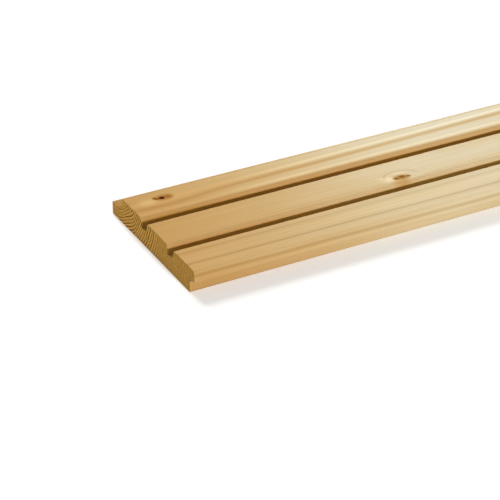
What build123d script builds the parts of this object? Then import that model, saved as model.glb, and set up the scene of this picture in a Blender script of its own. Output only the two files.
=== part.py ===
# Grooved lap cladding board, planed in one pass from one piece of treated spruce.
# It lies face up: +X runs along the board, +Y points to the edge with the lower lip,
# +Z points out of the face, and the origin is the middle of the flat back.
import os
from math import radians, tan

from build123d import *

# Driving dimensions, in millimetres and degrees
board_length = 1800.0
board_thickness = 21.0
land_count = 3          # flat strips of the face
land_width = 32.5       # one strip, wall to wall at the face
groove_width = 10.0     # shadow groove between two strips, at the face
groove_depth = 8.0
groove_draft = 4.0      # lean of each groove wall
lip_thickness = 10.5    # lower lip, which the next board's tongue covers
tongue_reach = 7.0      # overhang of the tongue past the body
lap_clearance = 0.5     # from a tongue's underside to the lip that it covers
face_radius = 2.5       # rounded arrises of the strips
eased_radius = 1.0      # eased edges of the lip, the tongue's underside and the back
cutter_radius = 0.8     # inside corners, as the planing knives leave them

# Widths across the board; the lip leaves a gap beside the next tongue that looks like one more groove
pitch = land_width + groove_width
face_width = land_count * pitch - groove_width
lip_width = tongue_reach + groove_width
overall_width = lip_width + face_width
lip_edge = overall_width / 2
shoulder = lip_edge - lip_width
tongue_edge = -overall_width / 2
body_edge = tongue_edge + tongue_reach

# Heights above the flat back
tongue_underside = lip_thickness + lap_clearance
groove_floor = board_thickness - groove_depth

same_place = 1e-4       # tolerance for picking corners by their place


def blank_section():
    # Outline of the lapped blank: back, lip, shoulder, face, tongue and the rebate under it.
    corners = [
        (body_edge, 0),
        (lip_edge, 0),
        (lip_edge, lip_thickness),
        (shoulder, lip_thickness),
        (shoulder, board_thickness),
        (tongue_edge, board_thickness),
        (tongue_edge, tongue_underside),
        (body_edge, tongue_underside),
    ]
    return make_face(Polyline(corners, close=True).edges())


def groove_section(middle):
    # One shadow groove, narrower at its floor by the draft of its two walls.
    half_top = groove_width / 2
    half_floor = half_top - groove_depth * tan(radians(groove_draft))
    corners = [
        (middle - half_floor, groove_floor),
        (middle + half_floor, groove_floor),
        (middle + half_top, board_thickness),
        (middle - half_top, board_thickness),
    ]
    return make_face(Polyline(corners, close=True).edges())


def at_corners(section, places):
    # Corners of the section that lie at the given places.
    def is_chosen(vertex):
        return any(
            abs(vertex.X - across) < same_place and abs(vertex.Y - height) < same_place
            for across, height in places
        )

    return section.vertices().filter_by(is_chosen)


def at_height(section, height):
    # Corners of the section that lie at one height.
    return section.vertices().filter_by(lambda vertex: abs(vertex.Y - height) < same_place)


def board_section():
    section = blank_section()
    for index in range(land_count - 1):
        groove_middle = shoulder - land_width - groove_width / 2 - index * pitch
        section = section - groove_section(groove_middle)

    # Inside corners: groove floors, the lip's shoulder and the rebate under the tongue
    rebate_corners = [(shoulder, lip_thickness), (body_edge, tongue_underside)]
    inside = at_height(section, groove_floor) + at_corners(section, rebate_corners)
    section = fillet(inside, cutter_radius)

    # Edges that the next board or the wall hides
    hidden_corners = [
        (body_edge, 0),
        (lip_edge, 0),
        (lip_edge, lip_thickness),
        (tongue_edge, tongue_underside),
    ]
    section = fillet(at_corners(section, hidden_corners), eased_radius)

    # Arrises of the strips, which show
    return fillet(at_height(section, board_thickness), face_radius)


# The planed section carried along the whole length, sawn square at both ends
board = extrude(Plane.YZ * board_section(), amount=board_length / 2, both=True)

os.makedirs("parts", exist_ok=True)
export_step(board, "parts/board.step")
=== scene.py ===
import math
from functools import partial

import bpy
import numpy as np
from mathutils import Matrix, Vector


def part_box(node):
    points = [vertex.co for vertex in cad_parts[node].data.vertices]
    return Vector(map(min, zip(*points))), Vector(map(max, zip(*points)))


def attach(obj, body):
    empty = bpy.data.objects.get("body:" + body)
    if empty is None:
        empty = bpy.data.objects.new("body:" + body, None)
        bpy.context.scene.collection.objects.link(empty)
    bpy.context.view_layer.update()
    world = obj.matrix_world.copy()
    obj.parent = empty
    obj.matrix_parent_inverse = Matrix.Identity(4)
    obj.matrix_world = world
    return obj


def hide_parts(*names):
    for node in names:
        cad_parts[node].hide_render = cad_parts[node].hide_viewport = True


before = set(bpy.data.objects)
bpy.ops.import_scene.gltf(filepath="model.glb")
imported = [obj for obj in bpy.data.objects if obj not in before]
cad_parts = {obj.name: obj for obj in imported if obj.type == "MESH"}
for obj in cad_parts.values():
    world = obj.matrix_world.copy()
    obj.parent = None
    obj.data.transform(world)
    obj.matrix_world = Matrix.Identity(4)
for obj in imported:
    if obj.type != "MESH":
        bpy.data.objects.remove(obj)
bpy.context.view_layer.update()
mm = 0.001   # sizes below are millimetres, Blender's are metres
hair = 0.01  # tolerance in mm when points are picked by their place
lowCorner, highCorner = (np.array(corner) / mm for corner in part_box("board"))
print("frame loaded, board corners in mm:", lowCorner.round(2), highCorner.round(2))


def hexToLinear(code):
    # sRGB curve undone channel by channel, alpha 1
    channels = np.array([int(code[i:i + 2], 16) for i in (1, 3, 5)]) / 255
    linear = np.where(channels <= 0.04045, channels / 12.92, ((channels + 0.055) / 1.055) ** 2.4)
    return (*linear.tolist(), 1.0)


def addNode(tree, kind, inputs=(), out=0, **settings):
    # one shader node with its settings, and values or links on its inputs, by name or by number, which on a
    # Mix node is 2 and 3 for plain values and 6 and 7 for colours; gives back one output socket
    node = tree.nodes.new("ShaderNode" + kind)
    for name, value in settings.items():
        setattr(node, name, value)
    for name, value in inputs.items() if isinstance(inputs, dict) else enumerate(inputs):
        if isinstance(value, bpy.types.NodeSocket):
            tree.links.new(value, node.inputs[name])
        else:
            node.inputs[name].default_value = value
    return node.outputs[out]


smooth = {"interpolation_type": "SMOOTHSTEP"}  # makes a MapRange node a smooth step
noiseMiddle = 0.5  # what a noise node gives on average

# Board section, read round the outline from the underside to the lip, the lands and the tongue
boardShape = {
    "landCount": 3,
    "landWidth": 32.5,
    "grooveWidth": 10.0,
    "grooveDepth": 8.0,
    "grooveDraft": 4.0,          # degrees, each wall
    "lipWidth": 17.0,
    "lipThickness": 10.5,
    "tongueReach": 7.0,
    "tongueUnderside": 11.0,     # height above the back
    "faceRadius": 2.5,           # moulded arrises of the lands
    "easedRadius": 1.0,          # edges of the back, the lip and the tongue's underside
    "cutterRadius": 0.8,         # inner corners left by the cutter
    "endEase": 0.35,             # saw arris rubbed off at both ends
    "knotDish": 0.15,            # planed knots shrink a little below the face
    "arcSteps": 6,               # points on each rounded corner
    "sharpAngle": 38.0,          # degrees, steeper edges are shaded sharp
    "spacing": {                 # of points on each straight side, closest where stain changes quickly
        "underside": 4.0, "lipEdge": 2.2, "lipTop": 1.8, "shoulder": 1.8, "land": 1.8, "grooveWall": 0.6,
        "grooveFloor": 2.0, "tongueEdge": 1.3, "tongueUnderside": 2.4, "bodyEdge": 2.2},
    "stationStep": 9.0,          # spacing of sections along the length
    "knotStations": (14.0, 15),  # reach to both sides of a knot, and number of sections in it
    "easeStations": (0.08, 0.3, 0.62, 1.0, 4.0, 10.0),  # sections at both ends, in parts of endEase
    "leastStep": 0.02,           # a section closer than this to the one before is dropped
}

# Knots: place along and across the board, and turn in degrees; then ovals, each as offset along and across
# from the knot's middle, half length, half width and strength. Heart is brown wood and eye its dark middle.
# Blush is in parts of dye and halo in parts of shade, both paler where below zero. An arc is a line of shade
# round its oval's far side.
knots = [
    {"at": (-872.4, 36.8), "turn": 0.0,
     "heart": [(0.4, 0.6, 8.6, 5.6, 0.6), (3.6, 0.5, 5.6, 4.6, 0.8), (-5.4, 1.5, 3.6, 2.8, 0.8)],
     "eye": [(-1.2, 0.5, 2.7, 2.3, 1.0), (-4.7, 0.1, 2.6, 1.4, 0.26), (-6.7, 2.3, 1.7, 1.6, 0.2)],
     "blush": [(-14.0, -1.4, 10.0, 7.5, -0.16)],
     "halo": [(-14.0, -1.4, 10.0, 7.5, -0.3)]},
    {"at": (-701.2, -18.4), "turn": -9.0,
     "heart": [(1.2, -0.2, 8.2, 4.8, 0.85), (1.9, 0.5, 4.4, 2.9, 1.6), (-3.6, -0.4, 3.6, 2.4, 1.5),
               (6.4, -0.6, 2.8, 2.0, 1.3)],
     "blush": [(-2.0, -5.2, 10.0, 4.0, 0.34)],
     "halo": [(-9.6, 0.8, 6.6, 6.0, -1.1), (-14.5, 4.0, 4.0, 3.0, -0.6), (1.7, 5.4, 8.0, 3.4, -0.5)],
     "arc": [(2.0, 0.4, 14.5, 9.3, 0.9)]},
    {"at": (-438.0, 29.0), "turn": 12.0,
     "heart": [(0.0, 0.0, 5.8, 4.0, 0.9)],
     "eye": [(0.8, 0.2, 1.9, 1.4, 0.7)],
     "halo": [(-5.0, 1.0, 7.0, 5.0, -0.7)]},
    {"at": (-214.0, -47.0), "turn": -8.0,
     "heart": [(0.0, 0.0, 9.0, 6.0, 1.0)],
     "eye": [(1.4, 0.4, 2.8, 2.1, 0.8)],
     "blush": [(0.0, 0.0, 13.0, 8.0, 0.15)],
     "halo": [(8.0, 1.0, 9.0, 7.5, -0.8)],
     "arc": [(-1.0, 0.0, 17.0, 11.0, 0.7)]},
    {"at": (-40.0, -2.0), "turn": 20.0,
     "heart": [(0.0, 0.0, 4.2, 2.7, 0.8)],
     "eye": [(0.4, 0.0, 1.6, 1.1, 0.6)],
     "halo": [(3.0, 0.0, 6.0, 4.0, -0.6)]},
    {"at": (236.0, -12.0), "turn": 6.0,
     "heart": [(0.0, 0.0, 8.2, 5.4, 1.0)],
     "eye": [(1.0, -0.4, 2.6, 1.9, 0.5)],
     "blush": [(0.0, 0.0, 12.0, 7.5, 0.15)],
     "halo": [(-7.0, 1.0, 8.0, 6.5, -0.8)],
     "arc": [(1.0, 0.0, 15.0, 9.5, 0.7)]},
    {"at": (478.0, 36.0), "turn": -14.0,
     "heart": [(0.0, 0.0, 6.8, 4.4, 0.8)],
     "eye": [(1.0, 0.0, 2.3, 1.7, 0.9)],
     "halo": [(5.0, 1.0, 8.0, 5.5, -0.7)]},
    {"at": (722.0, -50.0), "turn": 10.0,
     "heart": [(0.0, 0.0, 6.0, 3.8, 0.9)],
     "eye": [(1.0, 0.0, 1.9, 1.3, 0.6)],
     "halo": [(-5.0, 0.0, 7.0, 4.5, -0.6)]},
]


def sectionCorners(shape):
    # rows of y, z, corner radius and point spacing on the side that follows, anticlockwise seen from +X
    lipEdge, tongueEdge = highCorner[1], lowCorner[1]
    back, face = lowCorner[2], highCorner[2]
    bodyEdge = tongueEdge + shape["tongueReach"]
    shoulder = lipEdge - shape["lipWidth"]
    lipTop, tongueLow = back + shape["lipThickness"], back + shape["tongueUnderside"]
    grooveFloor = face - shape["grooveDepth"]
    lean = shape["grooveDepth"] * math.tan(math.radians(shape["grooveDraft"]))
    easedR, cutterR, faceR = shape["easedRadius"], shape["cutterRadius"], shape["faceRadius"]
    spacing = shape["spacing"]
    rows = [
        (bodyEdge, back, easedR, spacing["underside"]),
        (lipEdge, back, easedR, spacing["lipEdge"]),
        (lipEdge, lipTop, easedR, spacing["lipTop"]),
        (shoulder, lipTop, cutterR, spacing["shoulder"]),
        (shoulder, face, faceR, spacing["land"]),
    ]
    for groove in range(shape["landCount"] - 1):
        near = shoulder - (groove + 1) * shape["landWidth"] - groove * shape["grooveWidth"]
        far = near - shape["grooveWidth"]
        rows += [
            (near, face, faceR, spacing["grooveWall"]),
            (near - lean, grooveFloor, cutterR, spacing["grooveFloor"]),
            (far + lean, grooveFloor, cutterR, spacing["grooveWall"]),
            (far, face, faceR, spacing["land"]),
        ]
    rows += [
        (tongueEdge, face, faceR, spacing["tongueEdge"]),
        (tongueEdge, tongueLow, easedR, spacing["tongueUnderside"]),
        (bodyEdge, tongueLow, cutterR, spacing["bodyEdge"]),
    ]
    return np.array(rows)


def roundedLoop(rows, arcSteps):
    # each corner becomes an arc tangent to both its sides, its centre on the bisector
    # at radius / sin(half angle); each straight side is divided evenly at about its own spacing
    corners, radii = rows[:, :2], rows[:, 2:3]
    toBefore = np.roll(corners, 1, axis=0) - corners
    toAfter = np.roll(corners, -1, axis=0) - corners
    toBefore /= np.linalg.norm(toBefore, axis=1, keepdims=True)
    toAfter /= np.linalg.norm(toAfter, axis=1, keepdims=True)
    half = np.arccos(np.sum(toBefore * toAfter, axis=1, keepdims=True)) / 2
    bisector = (toBefore + toAfter) / np.linalg.norm(toBefore + toAfter, axis=1, keepdims=True)
    centre = corners + bisector * radii / np.sin(half)
    first = corners + toBefore * radii / np.tan(half) - centre
    last = corners + toAfter * radii / np.tan(half) - centre
    sweep = (math.pi - 2 * half)[:, :, None]
    t = np.linspace(0, 1, arcSteps)[None, :, None]
    turned = np.sin((1 - t) * sweep) * first[:, None] + np.sin(t * sweep) * last[:, None]
    arcs = centre[:, None] + turned / np.sin(sweep)
    outward = (arcs - centre[:, None]) / radii[:, None]
    hollow = np.cross(-toBefore, toAfter) < 0  # inner corners, where outward points at the arc's centre
    outward[hollow] *= -1
    points, normals = [], []
    for k, step in enumerate(rows[:, 3]):
        start, end = arcs[k, -1], arcs[(k + 1) % len(arcs), 0]
        count = max(2, int(np.ceil(np.linalg.norm(end - start) / step)))
        inner = np.linspace(0, 1, count + 1)[1:-1, None]
        side = np.array([toAfter[k][1], -toAfter[k][0]])
        points += [arcs[k], start + (end - start) * inner]
        normals += [outward[k], np.repeat(side[None], len(inner), axis=0)]
    return np.concatenate(points), np.concatenate(normals)


def lengthStations(shape):
    # sections evenly along the board, closer at each knot and in the eased millimetres at both ends,
    # sorted and rounded to a thousandth
    start, end = lowCorner[0], highCorner[0]
    even = np.linspace(start, end, int(round((end - start) / shape["stationStep"])) + 1)
    reach, count = shape["knotStations"]
    byKnot = np.array([[knot["at"][0]] for knot in knots]) + np.linspace(-reach, reach, count)
    eased = shape["endEase"] * np.array(shape["easeStations"])
    along = np.concatenate([even, byKnot.ravel(), start + eased, end - eased])
    along = np.unique(along.round(3))
    keep = np.concatenate([[True], np.diff(along) > shape["leastStep"]])
    return along[keep]


def fromNearerEnd(along):
    # distance in mm from whichever end is nearer, one row for each section
    return np.minimum(along - lowCorner[0], highCorner[0] - along)[:, None]


def inwardRelief(along, loop, shape):
    # depth in mm taken off the outline: a quarter round at both ends,
    # and on the face a shallow bell at each knot
    ease = shape["endEase"]
    gap = np.clip(ease - fromNearerEnd(along), 0, ease)
    depth = ease - np.sqrt(ease ** 2 - gap ** 2) + np.zeros(len(loop))
    onFace = loop[:, 1] > highCorner[2] - hair
    for knot in knots:
        long, wide = knot["heart"][0][2:4]
        u = (along[:, None] - knot["at"][0]) / long
        v = (loop[None, :, 0] - knot["at"][1]) / wide
        depth += shape["knotDish"] * np.exp(-(u ** 2 + v ** 2)) * onFace
    return depth


# Treatment that dried on the surface, and painted shade low in the grooves and behind the shoulder: depths
# are below the face, lengths from the nearer end
treatmentAndShade = {
    # where the film starts and is full, near the ends and further on
    "filmDepths": ((0.2, 0.8), (-0.1, 0.4)),
    "filmFurther": (60.0, 200.0),    # from the one pair of depths to the other
    "poolRim": 3.4,                  # the pool in a groove starts here, about where the low lamp's shadow starts on the wall; it is partly treatment, partly painted shade
    "poolFade": 1.4,                 # and is full this much deeper
    "paintedShadeRise": 1.45,                # painted shade: it starts higher at the ends in the groove by the lip, where the shadow on the wall reaches higher
    "paintedShadeRiseFades": (0.0, 140.0),
    "cornerReach": (2.0, 9.0),       # painted shade about the inner corner behind the shoulder, fading outwards
    "cornerTop": 3.0,                # it stays this far below the face
    "cornerFades": (15.0, 60.0),
}


def easeBetween(low, high, values):
    # smooth step: nothing at low, everything at high
    t = np.clip((values - low) / (high - low), 0, 1)
    return t * t * (3 - 2 * t)


def treatmentAndShadeLeft(along, loop, shape, stainAndShade):
    # film: treatment dried on the groove walls, starting part of the way round their arrises;
    # pool: colour low in the grooves, partly treatment gathered there and partly painted shade, and painted
    # shade behind the shoulder;
    # corner: the part of it behind the shoulder, which is painted shade; each is a product of smooth steps by
    # depth and from the ends
    across, height = loop.T
    depth = highCorner[2] - height
    fromEnd = fromNearerEnd(along)
    shoulder = highCorner[1] - shape["lipWidth"]
    pitch = shape["landWidth"] + shape["grooveWidth"]
    middles = shoulder + shape["grooveWidth"] / 2 - pitch * np.arange(1, shape["landCount"])
    fromMiddle = np.abs(across[:, None] - middles).min(axis=1)
    inGroove = fromMiddle < shape["grooveWidth"] / 2 + shape["faceRadius"] + hair
    further = easeBetween(*stainAndShade["filmFurther"], fromEnd)
    starts, full = (near + (far - near) * further for near, far in zip(*stainAndShade["filmDepths"]))
    film = inGroove * easeBetween(starts, full, depth)
    byLip = across > 0  # of the two grooves, the one by the lip lies on this side
    # painted shade: near the ends the pool's rim rises in the groove by the lip
    rise = stainAndShade["paintedShadeRise"] * (1 - easeBetween(*stainAndShade["paintedShadeRiseFades"], fromEnd)) * byLip
    rim = stainAndShade["poolRim"] - rise
    poolAndPaintedShade = inGroove * easeBetween(rim, rim + stainAndShade["poolFade"], depth)
    # painted shade in the inner corner behind the shoulder, near the ends only, added to the pool
    lipTop = lowCorner[2] + shape["lipThickness"]
    behind = (across > shoulder - hair) & (height > lipTop - hair) & (depth > stainAndShade["cornerTop"])
    fromCorner = np.hypot(across - shoulder, height - lipTop)
    corner = behind * (1 - easeBetween(*stainAndShade["cornerReach"], fromCorner))
    corner = corner * (1 - easeBetween(*stainAndShade["cornerFades"], fromEnd))
    return {"film": film, "poolAndPaintedShade": poolAndPaintedShade + corner, "corner": corner}


def buildBoard(shape, stainAndShade, materials):
    # the rounded section carried along the length, its two ends closed by one face each
    loop, normals = roundedLoop(sectionCorners(shape), shape["arcSteps"])
    along = lengthStations(shape)
    depth = inwardRelief(along, loop, shape)
    sections, around = len(along), len(loop)
    places = np.empty((sections, around, 3))
    places[:, :, 0] = along[:, None]
    places[:, :, 1:] = loop[None] - depth[:, :, None] * normals[None]
    row = np.arange(sections - 1)[:, None] * around
    here, there = np.arange(around), np.roll(np.arange(around), -1)
    quads = np.stack([row + here, row + there, row + around + there, row + around + here], axis=-1)
    quads = quads.reshape(-1, 4)
    ends = [here[::-1].tolist(), (here + (sections - 1) * around).tolist()]
    mesh = bpy.data.meshes.new("spruceBoard")
    mesh.from_pydata((places.reshape(-1, 3) * mm).tolist(), [], quads.tolist() + ends)
    isEnd = np.arange(len(mesh.polygons)) >= len(quads)
    mesh.polygons.foreach_set("use_smooth", ~isEnd)
    mesh.polygons.foreach_set("material_index", isEnd.astype(np.int32))
    mesh.set_sharp_from_angle(angle=math.radians(shape["sharpAngle"]))
    # film, pool and corner become point attributes; the pool is partly painted shade, the corner is painted
    # shade
    for name, amount in treatmentAndShadeLeft(along, loop, shape, stainAndShade).items():
        layer = mesh.attributes.new(name, "FLOAT", "POINT")
        layer.data.foreach_set("value", amount.ravel())
    for material in materials:
        mesh.materials.append(material)
    mesh.validate()
    board = bpy.data.objects.new("spruce_board", mesh)
    bpy.context.scene.collection.objects.link(board)
    print("board mesh:", sections, "sections of", around, "points,", 2 * len(quads), "triangles on its sides")
    return board


# Wood: growth rings about a pith line outside the board, so faces, edges and ends show one and the same tree
spruceLook = {
    "pith": (61.75, 39.0),       # y and z of the tree's middle
    "ringWidth": (1.3, 0.0233),  # first ring, and growth for each mm from the pith; coarse enough to show
    "lateStart": (0.3, 0.7),     # dark late wood sets in and stops within these parts of a year
    "lateEnd": (0.85, 1.0),
    # noise cells: length along the grain and thickness, in mm
    "wander": {"size": (560.0, 160.0), "detail": 4.0, "roughness": 0.5},  # slow bends in the grain
    "fibre": {"size": (80.0, 0.9), "detail": 3.0, "roughness": 0.6},      # bundles, as one fibre is too fine
    "cloud": {"size": (150.0, 24.0), "detail": 2.0, "roughness": 0.6},    # patches of slightly different tone
    "wanderReach": 2.0,
    "bendReach": (31.0, 10.0),   # how far along and across a knot pushes the grain aside
    "bendStrength": 0.94,
    "ovalFade": (0.2, 1.1),      # a knot's ovals fade between these parts of their size
    "arcLine": 0.07,             # half width of the line round a knot, as a part of its oval
    "arcSide": (-1.0, 4.0),      # mm past the knot's middle where that line sets in
    # years that differ: distance from the pith at the near end, drift per metre, half width, and strength
    # near the end and further on, in parts of dye or of shade
    "dyedYears": [
        (22.2, 0.0, 0.6, 0.12, 0.20), (37.7, -19.0, 2.1, 0.16, 0.44), (86.0, 0.0, 2.4, 0.05, 0.10),
        (105.5, 0.0, 1.6, 0.07, 0.01), (120.3, 5.0, 1.3, 0.14, 0.04), (131.2, -1.8, 0.3, 0.12, 0.12)],
    "shadedYears": [
        (32.1, -15.0, 1.5, -0.5, -0.9), (37.7, -19.0, 2.1, 0.25, 0.15), (44.7, -6.0, 1.5, -0.5, -0.85),
        (105.5, 0.0, 1.7, 0.6, 0.55), (112.2, 0.0, 4.0, 0.0, -0.3), (120.3, 5.0, 1.4, 0.75, 1.0),
        (129.2, 0.0, 0.5, -0.5, -0.5), (131.2, -1.8, 0.3, 0.9, 0.9)],
    "yearFurther": (40.0, 140.0),  # mm from the end, from the one strength to the other
    "endToneRagged": 36.0,          # mm, ragged front of the dye that rises towards both ends
    "endToneReach": 290.0,          # it fades over this length
    "endTonePast": 40.0,            # and would be full this far past the end
    # two places across the board and the parts of dye there, far from the ends and at them
    "endToneLeast": (40.0, 0.0, -0.02, 0.14),
    "endToneMost": (30.0, -45.0, 0.98, 0.80),
    "filmDye": 0.95,             # parts of dye in the film on the groove walls
    "filmAcross": (12.0, -22.0, 0.55, 0.05),  # it is stronger in the groove by the lip
    "filmAlong": (20.0, 90.0),   # mm from the end, between which it sets in
    "edgeHeights": (20.0, 17.0),  # more dye sets in between these heights
    "footHeights": (9.0, 6.0),   # and more again between these
    "dyeParts": {                # share of each cause in the dye; the corner's share is painted shade
        "dyedYears": 1.0, "rings": 0.10, "edges": 0.07, "foot": 0.07, "cloudy": 0.30, "streaky": 0.22,
        "blush": 1.0, "corner": 0.6},
    "poolAndShadeDye": 0.5,              # share of the wood's dye that shows through a pool, which is partly painted shade
    "cream": "#E9DDBF",          # bare wood, no dye
    "honey": "#C6985A",          # the same wood with one part of dye
    "poolAndPaintedShade": "#C2A862",           # treatment gathered in the grooves, partly painted shade there, and painted shade behind the shoulder
    "shade": "#D7C9AB",          # one part of shade on bare spruce
    "heart": "#A8824A",          # a knot's wood on bare spruce
    "eye": "#4C1D08",            # its dark middle on bare spruce
    "ior": 1.5,
    "specularLevel": 0.02,       # open pores hardly shine
    "roughness": (0.2, 0.8, 0.62, 0.74),  # fibre noise, and roughness there
    "bump": (0.35, 0.08),        # strength, and height of the fibres in mm
}


def stretchedNoise(add, place, cells, out=0):
    # noise whose cells lie with the grain: place divided by their length and thickness
    along, across = cells["size"]
    vector = add("VectorMath", (place, (1 / along, 1 / across, 1 / across)), operation="MULTIPLY")
    inputs = {"Vector": vector, "Scale": 1.0, "Detail": cells["detail"], "Roughness": cells["roughness"]}
    return add("TexNoise", inputs, out=out)


def bellOf(add, value):
    # exp(-value squared)
    squared = add("Math", (value, value), operation="MULTIPLY")
    return add("Math", (math.exp(-1), squared), operation="POWER")


def fromOval(add, place, knot, oval):
    # distance from an oval's middle in units of its half length and width, whatever the height
    (x, y), (shiftX, shiftY, long, wide) = knot["at"], oval
    anyHeight = 1e6
    seat = {
        0: place, "Location": (x + shiftX, y + shiftY, 0), "Rotation": (0, 0, math.radians(knot["turn"])),
        "Scale": (long, wide, anyHeight)}
    seated = add("Mapping", seat, vector_type="TEXTURE")
    return add("VectorMath", (seated,), out="Value", operation="LENGTH")


def pushedAside(add, place, look):
    # place across the board with each knot's push taken out, so that the grain flows round it:
    # across - strength x bell x offset from the knot
    across = add("SeparateXYZ", (place,), out="Y")
    pushed = across
    for knot in knots:
        bell = bellOf(add, fromOval(add, place, knot, (0, 0, *look["bendReach"])))
        offset = add("Math", (across, knot["at"][1]), operation="SUBTRACT")
        push = add("Math", (bell, offset), operation="MULTIPLY")
        pushed = add("Math", (push, -look["bendStrength"], pushed), operation="MULTIPLY_ADD")
    return pushed


def knotMarks(add, place, look):
    # heart and eye: the strongest of their ovals, each falling smoothly to nothing at its edge;
    # blush and halo: all ovals added up, and a thin bell along each arc, on the far side of its knot
    across = add("SeparateXYZ", (place,), out="Y")
    joined = {"heart": "MAXIMUM", "eye": "MAXIMUM", "blush": "ADD", "halo": "ADD"}
    shown = dict.fromkeys(joined, 0.0)
    for knot in knots:
        for name, operation in joined.items():
            for *oval, strength in knot.get(name, ()):
                away = fromOval(add, place, knot, oval)
                mark = add("MapRange", (away, *look["ovalFade"], strength, 0.0), **smooth)
                shown[name] = add("Math", (shown[name], mark), operation=operation)
        for *oval, strength in knot.get("arc", ()):
            line = add("Math", (fromOval(add, place, knot, oval), 1.0), operation="SUBTRACT")
            line = bellOf(add, add("Math", (line, look["arcLine"]), operation="DIVIDE"))
            offset = add("Math", (across, knot["at"][1]), operation="SUBTRACT")
            farSide = add("MapRange", (offset, *look["arcSide"], 0.0, strength), **smooth)
            shown["halo"] = add("Math", (line, farSide, shown["halo"]), operation="MULTIPLY_ADD")
    return shown


def yearBands(add, years, fromPith, fromEnd, further):
    # sum of bells about each year's distance from the pith, which drifts along the board
    total = 0.0
    for radius, drift, halfWidth, nearStrength, furtherStrength in years:
        band = add("Math", (fromEnd, -drift * mm, fromPith), operation="MULTIPLY_ADD")
        band = add("Math", (band, radius), operation="SUBTRACT")
        band = bellOf(add, add("Math", (band, halfWidth), operation="DIVIDE"))
        strength = add("MapRange", (fromEnd, *further, nearStrength, furtherStrength), **smooth)
        total = add("Math", (band, strength, total), operation="MULTIPLY_ADD")
    return total


def ringField(add, look):
    # place in mm, and distance from the pith with its bends; rings widen as first + growth x distance,
    # so years count up with the logarithm of that, and each is dark for its last part
    place = add("VectorMath", {0: add("TexCoord", out="Object"), "Scale": 1 / mm}, operation="SCALE")
    height = add("SeparateXYZ", (place,), out="Z")
    section = add("CombineXYZ", {"Y": pushedAside(add, place, look), "Z": height})
    bends = stretchedNoise(add, place, look["wander"], out="Color")
    reach = look["wanderReach"]
    toReach, toMiddle = (0, 2 * reach, 2 * reach), (0, -reach, -reach)
    bends = add("VectorMath", (bends, toReach, toMiddle), operation="MULTIPLY_ADD")
    section = add("VectorMath", (section, bends), operation="ADD")
    fromPith = add("VectorMath", (section, (0, *look["pith"])), out="Value", operation="DISTANCE")
    first, growth = look["ringWidth"]
    width = add("Math", (fromPith, growth, first), operation="MULTIPLY_ADD")
    count = add("Math", (width, math.exp(growth)), operation="LOGARITHM")
    within = add("Math", (count,), operation="FRACT")
    starts = add("MapRange", (within, *look["lateStart"], 0.0, 1.0), **smooth)
    stops = add("MapRange", (within, *look["lateEnd"], 1.0, 0.0), **smooth)
    late = add("Math", (starts, stops), operation="MULTIPLY")
    whole = add("Math", (count,), operation="FLOOR")
    year = add("TexWhiteNoise", {"W": whole}, noise_dimensions="1D")
    return {"place": place, "fromPith": fromPith, "late": late, "year": year}


def faceField(add, look):
    # the rings, and what shows on planed faces: knots, years that differ, fibres and clouds;
    # shade is the sum of shaded years and halos
    grain = ringField(add, look)
    place = grain["place"]
    grain |= knotMarks(add, place, look)
    fromEnd = add("Math", (add("SeparateXYZ", (place,), out="X"), lowCorner[0]), operation="SUBTRACT")
    for name in ("dyedYears", "shadedYears"):
        grain[name] = yearBands(add, look[name], grain["fromPith"], fromEnd, look["yearFurther"])
    grain["shade"] = add("Math", (grain["shadedYears"], grain["halo"]), operation="ADD")
    for name in ("fibre", "cloud"):
        grain[name] = stretchedNoise(add, place, look[name])
    return grain


def dyeAmount(add, grain, look):
    # parts of dye: rising towards both ends with a ragged front, mixed with the film on the groove walls,
    # and every other cause added to it by its share
    place = grain["place"]
    acrossBoard, height = (add("SeparateXYZ", (place,), out=axis) for axis in "YZ")
    alongBoard = add("Math", (add("SeparateXYZ", (place,), out="X"),), operation="ABSOLUTE")
    end = highCorner[0]
    front = add("Math", (grain["fibre"], look["endToneRagged"], alongBoard), operation="MULTIPLY_ADD")
    least = add("MapRange", (acrossBoard, *look["endToneLeast"]))
    most = add("MapRange", (acrossBoard, *look["endToneMost"]))
    full = end + look["endToneRagged"] * noiseMiddle + look["endTonePast"]
    endTone = add("MapRange", (front, full - look["endToneReach"], full, least, most), **smooth)
    film = add("Attribute", attribute_name="film", out="Fac")
    shows, showsFully = look["filmAlong"]
    for cover in (
            add("MapRange", (acrossBoard, *look["filmAcross"])),
            add("MapRange", (alongBoard, end - shows, end - showsFully))):
        film = add("Math", (film, cover), operation="MULTIPLY")
    dye = add("Mix", {0: film, 2: endTone, 3: look["filmDye"]})
    causes = {
        "dyedYears": grain["dyedYears"],
        "rings": add("Math", (grain["year"], grain["late"]), operation="MULTIPLY"),
        "edges": add("MapRange", (height, *look["edgeHeights"]), **smooth),
        "foot": add("MapRange", (height, *look["footHeights"]), **smooth),
        "cloudy": add("Math", (grain["cloud"], noiseMiddle), operation="SUBTRACT"),
        "streaky": add("Math", (grain["fibre"], noiseMiddle), operation="SUBTRACT"),
        "blush": grain["blush"],
        # painted shade behind the shoulder, also darkening through the dye
        "corner": add("Attribute", attribute_name="corner", out="Fac"),
    }
    for name, share in look["dyeParts"].items():
        dye = add("Math", (causes[name], share, dye), operation="MULTIPLY_ADD")
    return dye


def newWood(name, look):
    # a principled shader with wood's IOR and faint shine, and the function that adds nodes to it
    material = bpy.data.materials.new(name)
    material.use_nodes = True
    shader = material.node_tree.nodes["Principled BSDF"]
    shader.inputs["IOR"].default_value = look["ior"]
    shader.inputs["Specular IOR Level"].default_value = look["specularLevel"]
    return material, shader, partial(addNode, material.node_tree)


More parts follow.
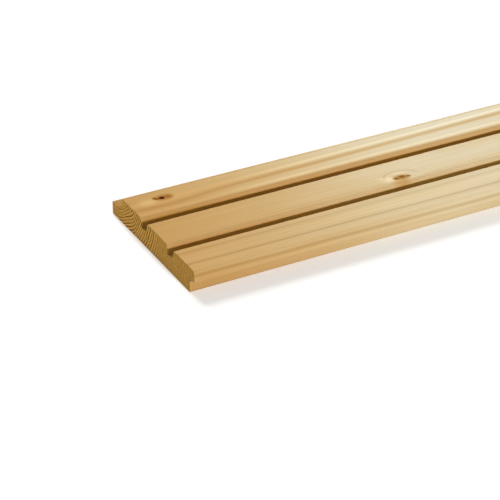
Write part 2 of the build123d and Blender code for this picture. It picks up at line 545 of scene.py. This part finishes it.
def planedSpruce(look):
    # planed, pressure-treated spruce: pale cream with faint long grain, honey towards both ends,
    # dull, because bare wood scatters nearly all the light; dye works as cream x (honey / cream) ^ parts,
    # and shade and knots change what is there in the same way
    material, shader, add = newWood("planed pressure-treated spruce", look)
    link = material.node_tree.links.new
    grain = faceField(add, look)
    cream, honey, poolAndShadeColour = (np.array(hexToLinear(look[name])[:3]) for name in ("cream", "honey", "poolAndPaintedShade"))
    dye = dyeAmount(add, grain, look)
    dyed = add("VectorMath", (honey / cream, dye), operation="POWER")
    colour = add("VectorMath", (dyed, cream), operation="MULTIPLY")
    for name in ("shade", "heart", "eye"):
        tint = np.array(hexToLinear(look[name])[:3]) / cream
        tint = add("VectorMath", (tint, grain[name]), operation="POWER")
        colour = add("VectorMath", (colour, tint), operation="MULTIPLY")
    # the pool colour, darkened by part of the dye, where the pool lies: partly treatment and partly painted
    # shade in the grooves, painted shade behind the shoulder
    throughPoolAndShade = add("Math", (dye, look["poolAndShadeDye"]), operation="MULTIPLY")
    throughPoolAndShade = add("VectorMath", (honey / cream, throughPoolAndShade), operation="POWER")
    throughPoolAndShade = add("VectorMath", (throughPoolAndShade, poolAndShadeColour), operation="MULTIPLY")
    poolAndPaintedShade = add("Attribute", attribute_name="poolAndPaintedShade", out="Fac")
    colour = add("Mix", {0: poolAndPaintedShade, 6: colour, 7: throughPoolAndShade}, out=2, data_type="RGBA")
    link(colour, shader.inputs["Base Color"])
    link(add("MapRange", (grain["fibre"], *look["roughness"])), shader.inputs["Roughness"])
    strength, fibreHeight = look["bump"]
    bump = {"Height": grain["fibre"], "Strength": strength, "Distance": fibreHeight * mm}
    link(add("Bump", bump), shader.inputs["Normal"])
    return material


# End grain: distances from the pith in mm, or noise, and then the amounts there
endLook = {
    "contrast": (30.0, 46.0, 0.70, 1.2),   # of the rings, rising away from the pith
    "contrastEnds": (66.0, 84.0),          # and gone further out
    "patchSize": 5.0,                      # mm, patches where the rings show more or less
    "innerPatches": (0.38, 0.56, 0.12, 1.2),   # these multiply the contrast
    "outerPatches": (0.50, 0.64, 0.03, 0.45),  # these are the least that it falls to
    "yearStrength": (0.7, 1.2),            # late wood of the faintest and the strongest year
    "average": (28.0, 44.0, 0.36, 0.42),   # share of dark where no rings show
    "speckSize": 1 / 0.7,                  # mm, torn fibre ends, coarser than real ones so that they show
    "speckTone": (0.25, 0.75, 0.8, 1.2),
    "detail": 3.0,
    "speckRoughness": 0.65,
    "light": "#F4BE60",                    # early wood full of treatment
    "dark": "#7A4B12",                     # late wood
    "roughness": 0.75,
    "bump": (0.5, 0.15),                   # strength, and height of the torn ends in mm
}


def sawnEndGrain(look, end):
    # sawn end grain: drinks the most treatment, so it is darker, with the year rings drawn sharp in patches
    # and hardly at all far from the pith;
    # dark = average + contrast x (late wood x its year's strength - average)
    material, shader, add = newWood("sawn pressure-treated end grain", look)
    link = material.node_tree.links.new
    grain = ringField(add, look)
    place, fromPith = grain["place"], grain["fromPith"]
    rises = add("MapRange", (fromPith, *end["contrast"]), **smooth)
    falls = add("MapRange", (fromPith, *end["contrastEnds"], 1.0, 0.0), **smooth)
    contrast = add("Math", (rises, falls), operation="MULTIPLY")
    patches = add("TexNoise", {"Vector": place, "Scale": 1 / end["patchSize"], "Detail": end["detail"]})
    inner = add("MapRange", (patches, *end["innerPatches"]))
    outer = add("MapRange", (patches, *end["outerPatches"]))
    contrast = add("Math", (contrast, inner), operation="MULTIPLY")
    contrast = add("Math", (contrast, outer), operation="MAXIMUM", use_clamp=True)
    strength = add("MapRange", (grain["year"], 0.0, 1.0, *end["yearStrength"]))
    strength = add("Math", (strength, grain["late"]), operation="MULTIPLY", use_clamp=True)
    average = add("MapRange", (fromPith, *end["average"]), **smooth)
    dark = add("Mix", {0: contrast, 2: average, 3: strength})
    tones = {0: dark, 6: hexToLinear(end["light"]), 7: hexToLinear(end["dark"])}
    colour = add("Mix", tones, out=2, data_type="RGBA")
    specks = {
        "Vector": place, "Scale": 1 / end["speckSize"], "Detail": end["detail"],
        "Roughness": end["speckRoughness"]}
    speck = add("TexNoise", specks)
    tone = add("MapRange", (speck, *end["speckTone"]))
    link(add("VectorMath", {0: colour, "Scale": tone}, operation="SCALE"), shader.inputs["Base Color"])
    shader.inputs["Roughness"].default_value = end["roughness"]
    bumpStrength, tornHeight = end["bump"]
    bump = {"Height": speck, "Strength": bumpStrength, "Distance": tornHeight * mm}
    link(add("Bump", bump), shader.inputs["Normal"])
    return material


board = buildBoard(boardShape, treatmentAndShade, [planedSpruce(spruceLook), sawnEndGrain(spruceLook, endLook)])
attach(board, "root")
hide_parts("board")
print("board dressed and riding on root")

# Studio: level white light, a white floor that keeps the board's shadow
studio = {
    "white": "#FFFFFF",
    "floorSide": 60.0,      # metres
    "floorColour": "#E8E8E6",
    "floorRoughness": 0.9,
    "floorGlow": 0.36,      # seen by the camera only
    "ambient": 0.24,
    # azimuth 0 shines from the front, 180 from behind; level is what a white surface facing the lamp shows
    "lamps": [
        {"name": "backWindow", "azimuth": 176.0, "elevation": 48.0, "level": 0.75, "spread": 30.0},
        {"name": "lowFront", "azimuth": 3.0, "elevation": 18.5, "level": 0.59, "spread": 3.0},
    ],
}


def fromDirection(azimuth, elevation):
    # unit vector towards a point at that azimuth, turned from the front, and height angle
    a, e = math.radians(azimuth), math.radians(elevation)
    return Vector((math.sin(a) * math.cos(e), -math.cos(a) * math.cos(e), math.sin(e)))


def hangLamps(lamps):
    # sun lamps; a level of 1 takes an energy of pi
    for lamp in lamps:
        sun = bpy.data.lights.new(lamp["name"], "SUN")
        sun.energy = lamp["level"] * math.pi
        sun.angle = math.radians(lamp["spread"])
        holder = bpy.data.objects.new(lamp["name"], sun)
        towards = fromDirection(lamp["azimuth"], lamp["elevation"])
        holder.rotation_euler = towards.to_track_quat("Z", "Y").to_euler()
        bpy.context.scene.collection.objects.link(holder)


def paintWorld(settings):
    # full white where the camera, a reflection or glass looks at it, and faint light for everything else
    world = bpy.data.worlds.new("whiteStudio")
    world.use_nodes = True
    bpy.context.scene.world = world
    add = partial(addNode, world.node_tree)
    direct = add("LightPath", out="Is Camera Ray")
    for ray in ("Is Glossy Ray", "Is Transmission Ray"):
        direct = add("Math", (direct, add("LightPath", out=ray)), operation="MAXIMUM")
    strength = add("MapRange", {0: direct, 3: settings["ambient"], 4: 1.0})
    background = world.node_tree.nodes["Background"]
    background.inputs["Color"].default_value = hexToLinear(settings["white"])
    world.node_tree.links.new(strength, background.inputs["Strength"])


def layFloor(settings):
    # one square of matt white paper at height 0; to the camera it glows a little, so that it meets the white
    # world without an edge
    side = settings["floorSide"] / 2
    corners = [(-side, -side, 0), (side, -side, 0), (side, side, 0), (-side, side, 0)]
    mesh = bpy.data.meshes.new("studioFloor")
    mesh.from_pydata(corners, [], [(0, 1, 2, 3)])
    floor = bpy.data.objects.new("studio_floor", mesh)
    bpy.context.scene.collection.objects.link(floor)
    material = bpy.data.materials.new("matt white studio paper")
    material.use_nodes = True
    shader = material.node_tree.nodes["Principled BSDF"]
    shader.inputs["Base Color"].default_value = hexToLinear(settings["floorColour"])
    shader.inputs["Roughness"].default_value = settings["floorRoughness"]
    shader.inputs["Emission Color"].default_value = hexToLinear(settings["white"])
    add = partial(addNode, material.node_tree)
    seen = add("LightPath", out="Is Camera Ray")
    glow = add("Math", (seen, settings["floorGlow"]), operation="MULTIPLY")
    material.node_tree.links.new(glow, shader.inputs["Emission Strength"])
    mesh.materials.append(material)


hangLamps(studio["lamps"])
paintWorld(studio)
layFloor(studio)
print("studio ready")

# Camera: a long lens held a little above the near end
viewpoint = {
    "aim": (-843.11, -43.36, 10.0),
    "distance": 1424.05,
    "azimuth": -28.601,
    "elevation": 30.715,
    "roll": 0.312,
    "lens": 143.294,
    "sensor": 36.0,
    "clip": (0.05, 200.0),  # metres
}


def placeCamera(settings):
    # stands at the distance from the aim, in the azimuth's and elevation's direction, and looks back at it
    data = bpy.data.cameras.new("longLens")
    data.lens = settings["lens"]
    data.sensor_width = settings["sensor"]
    data.clip_start, data.clip_end = settings["clip"]
    camera = bpy.data.objects.new("longLens", data)
    back = fromDirection(settings["azimuth"], settings["elevation"])
    place = (Vector(settings["aim"]) + back * settings["distance"]) * mm
    turn = Matrix.Rotation(math.radians(settings["azimuth"]), 4, "Z")
    tip = Matrix.Rotation(math.radians(90 - settings["elevation"]), 4, "X")
    roll = Matrix.Rotation(math.radians(settings["roll"]), 4, "Z")
    camera.matrix_world = Matrix.Translation(place) @ turn @ tip @ roll
    bpy.context.scene.collection.objects.link(camera)
    bpy.context.scene.camera = camera


placeCamera(viewpoint)
bpy.context.scene.view_settings.view_transform = "Standard"
print("camera placed")
